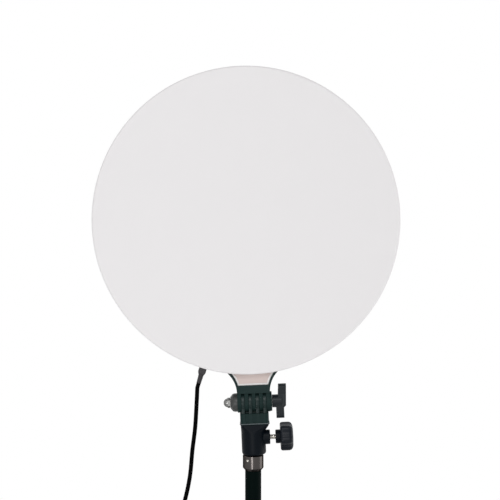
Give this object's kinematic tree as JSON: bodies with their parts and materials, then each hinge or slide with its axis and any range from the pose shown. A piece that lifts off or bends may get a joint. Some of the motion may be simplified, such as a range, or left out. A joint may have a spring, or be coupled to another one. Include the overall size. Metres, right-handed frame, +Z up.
{
  "type": "led soft light",
  "caption": "Round opal LED soft light panel with a comb-hinged tilt bracket on a folding three-section light stand, with mains lead and plug.",
  "frame": {"origin": "on the floor, in the middle of the footprint of the stand's three feet", "axes": "+Z up, the lit face looks along -Y, the control plate is on the +Y side, the T-handle and the clamp knobs are on the +X side"},
  "size_m": [0.7154, 0.6228, 1.2457],
  "materials": {
    "stand_black": "satin black coat",
    "bracket_plastic": "moulded dark grey-green nylon",
    "knob_plastic": "moulded black nylon",
    "nickel": "plated steel",
    "shell_white": "satin white ABS",
    "opal": "opal acrylic",
    "rubber": "matt black",
    "board": "white solder mask",
    "cord_black": "smooth black PVC"
  },
  "bodies": {
    "stand": {"column_tube": "stand_black", "strut_hub": "knob_plastic", "lower_clamp": "knob_plastic", "strut_pin_1": "nickel", "strut_pin_2": "nickel", "strut_pin_3": "nickel", "cord_lead": "cord_black", "cord_coil": "cord_black", "cord_tie": "cord_black", "power_plug": "cord_black", "plug_pin_1": "nickel", "plug_pin_2": "nickel"},
    "collar": {"leg_collar": "knob_plastic", "leg_pin_1": "nickel", "leg_pin_2": "nickel", "leg_pin_3": "nickel"},
    "collar_screw": {"collar_knob": "knob_plastic"},
    "back_leg": {"leg_1": "stand_black", "foot_1": "rubber"},
    "left_leg": {"leg_2": "stand_black", "foot_2": "rubber"},
    "right_leg": {"leg_3": "stand_black", "foot_3": "rubber"},
    "back_strut": {"strut_1": "stand_black"},
    "left_strut": {"strut_2": "stand_black"},
    "right_strut": {"strut_3": "stand_black"},
    "lower_clamp_screw": {"lower_clamp_knob": "knob_plastic"},
    "mid_riser": {"mid_tube": "stand_black", "upper_clamp": "knob_plastic"},
    "upper_clamp_screw": {"upper_clamp_knob": "knob_plastic"},
    "top_riser": {"top_tube": "stand_black", "spigot": "nickel"},
    "socket": {"socket_body": "bracket_plastic"},
    "socket_clamp_screw": {"socket_knob": "knob_plastic", "socket_screw": "nickel"},
    "head": {"yoke": "bracket_plastic", "cap_nut": "nickel", "rear_shell": "shell_white", "diffuser": "opal", "led_board": "board", "reflector_ring": "board", "driver_box": "board", "control_plate": "knob_plastic", "yoke_screw_1": "nickel", "yoke_screw_2": "nickel", "strain_relief": "knob_plastic"},
    "tilt_lever": {"tilt_handle": "bracket_plastic", "hinge_bolt": "nickel"},
    "brightness_control": {"brightness_dial": "knob_plastic"},
    "colour_control": {"colour_dial": "knob_plastic"},
    "power_switch": {"power_rocker": "knob_plastic"}
  },
  "joints": [
    {"name": "leg_fold", "type": "slide", "parent": "stand", "child": "collar", "axis": [0, 0, 1], "range_m": [0, 0.2591]},
    {"name": "back_leg_hinge", "type": "hinge", "parent": "collar", "child": "back_leg", "pos_m": [0, -0.06425, 0.23836], "axis": [-1, 0, 0], "range_deg": [0, 58]},
    {"name": "left_leg_hinge", "type": "hinge", "parent": "collar", "child": "left_leg", "pos_m": [-0.03118, -0.11825, 0.23836], "axis": [0.5, -0.866, 0], "range_deg": [0, 58]},
    {"name": "right_leg_hinge", "type": "hinge", "parent": "collar", "child": "right_leg", "pos_m": [0.03118, -0.11825, 0.23836], "axis": [0.5, 0.866, 0], "range_deg": [0, 58]},
    {"name": "back_strut_hinge", "type": "hinge", "parent": "stand", "child": "back_strut", "pos_m": [0, -0.07825, 0.10333], "axis": [1, 0, 0], "range_deg": [0, 77.8]},
    {"name": "left_strut_hinge", "type": "hinge", "parent": "stand", "child": "left_strut", "pos_m": [-0.01905, -0.11125, 0.10333], "axis": [-0.5, 0.866, 0], "range_deg": [0, 77.8]},
    {"name": "right_strut_hinge", "type": "hinge", "parent": "stand", "child": "right_strut", "pos_m": [0.01905, -0.11125, 0.10333], "axis": [-0.5, -0.866, 0], "range_deg": [0, 77.8]},
    {"name": "collar_screw_turn", "type": "hinge", "parent": "collar", "child": "collar_screw", "pos_m": [0, -0.10025, 0.23836], "axis": [0.866, 0.5, 0], "range_deg": [0, 360]},
    {"name": "lower_clamp_screw_turn", "type": "hinge", "parent": "stand", "child": "lower_clamp_screw", "pos_m": [0, -0.10025, 0.60633], "axis": [1, 0, 0], "range_deg": [0, 360]},
    {"name": "mid_riser_slide", "type": "slide", "parent": "stand", "child": "mid_riser", "axis": [0, 0, 1], "range_m": [-0.031, 0.37], "deforming": ["cord_lead"]},
    {"name": "upper_clamp_screw_turn", "type": "hinge", "parent": "mid_riser", "child": "upper_clamp_screw", "pos_m": [0, -0.10025, 0.69033], "axis": [1, 0, 0], "range_deg": [0, 360]},
    {"name": "top_riser_slide", "type": "slide", "parent": "mid_riser", "child": "top_riser", "axis": [0, 0, 1], "range_m": [-0.068, 0.39], "deforming": ["cord_lead"]},
    {"name": "pan", "type": "hinge", "parent": "top_riser", "child": "socket", "pos_m": [0, -0.10025, 0.80363], "axis": [0, 0, 1], "range_deg": [-180, 180], "deforming": ["cord_lead"]},
    {"name": "socket_screw_turn", "type": "hinge", "parent": "socket", "child": "socket_clamp_screw", "pos_m": [0.00038, -0.10025, 0.80998], "axis": [0.9991, 0, 0.0427], "range_deg": [0, 360]},
    {"name": "tilt", "type": "hinge", "parent": "socket", "child": "head", "pos_m": [0.00078, -0.10025, 0.85203], "axis": [0.9991, 0, 0.0427], "range_deg": [-90, 90], "deforming": ["cord_lead"]},
    {"name": "tilt_lever_turn", "type": "hinge", "parent": "head", "child": "tilt_lever", "pos_m": [0.00078, -0.10025, 0.85203], "axis": [0.9991, 0, 0.0427], "range_deg": [0, 360]},
    {"name": "brightness_turn", "type": "hinge", "parent": "head", "child": "brightness_control", "pos_m": [-0.03741, -0.10025, 1.01955], "axis": [0, 1, 0], "range_deg": [-140, 140]},
    {"name": "colour_turn", "type": "hinge", "parent": "head", "child": "colour_control", "pos_m": [0.02453, -0.10025, 1.0222], "axis": [0, 1, 0], "range_deg": [-140, 140]},
    {"name": "power_press", "type": "hinge", "parent": "head", "child": "power_switch", "pos_m": [-0.00644, -0.07715, 1.02088], "axis": [0.9991, 0, 0.0427], "range_deg": [-16, 0]}
  ],
  "couplings": [
    {"joint": "back_leg_hinge", "follows": "leg_fold", "rad_per_m": 3.9063},
    {"joint": "left_leg_hinge", "follows": "leg_fold", "rad_per_m": 3.9063},
    {"joint": "right_leg_hinge", "follows": "leg_fold", "rad_per_m": 3.9063},
    {"joint": "back_strut_hinge", "follows": "leg_fold", "rad_per_m": 5.2376},
    {"joint": "left_strut_hinge", "follows": "leg_fold", "rad_per_m": 5.2376},
    {"joint": "right_strut_hinge", "follows": "leg_fold", "rad_per_m": 5.2376}
  ]
}
